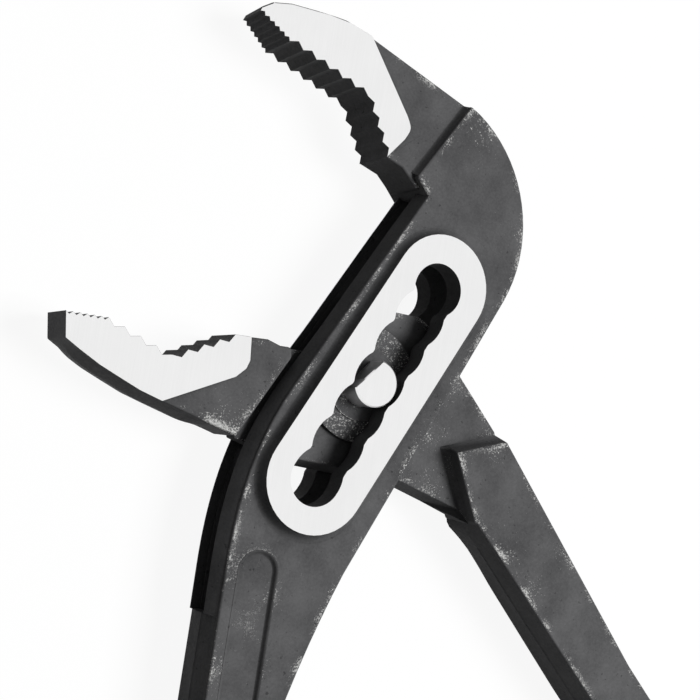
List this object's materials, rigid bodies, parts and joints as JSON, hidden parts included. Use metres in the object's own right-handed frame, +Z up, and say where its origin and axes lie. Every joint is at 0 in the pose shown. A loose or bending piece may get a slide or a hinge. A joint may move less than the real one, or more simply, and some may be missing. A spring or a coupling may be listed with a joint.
{
  "type": "water pump pliers",
  "caption": "Box-joint water pump pliers with angled toothed jaws, a notched slot with a sliding D-shaped pivot pin and sleeved handles, lying flat and opened wide.",
  "frame": {"origin": "pivot axis on the plane that the tool rests on", "axes": "+Y towards the upper jaw along the outer handle, +X towards the inner handle, +Z up through the thickness"},
  "size_m": [0.2004, 0.2489, 0.0158],
  "materials": {
    "forged_steel": "dark phosphated forging",
    "ground_steel": "ground bright",
    "grip_plastic": "dip-moulded satin"
  },
  "bodies": {
    "outer": {"outer_arm": "forged_steel", "outer_grip": "grip_plastic"},
    "slider": {"pin_core": "ground_steel"},
    "inner": {"inner_arm": "forged_steel", "pivot_pin": "ground_steel", "inner_grip": "grip_plastic"}
  },
  "joints": [
    {"name": "adjust", "type": "slide", "parent": "outer", "child": "slider", "axis": [0.454, 0.891, 0], "range_m": [-0.021, 0.021]},
    {"name": "close", "type": "hinge", "parent": "slider", "child": "inner", "pos_m": [0, 0, 0.0079], "axis": [0, 0, -1], "range_deg": [0, 42]}
  ]
}
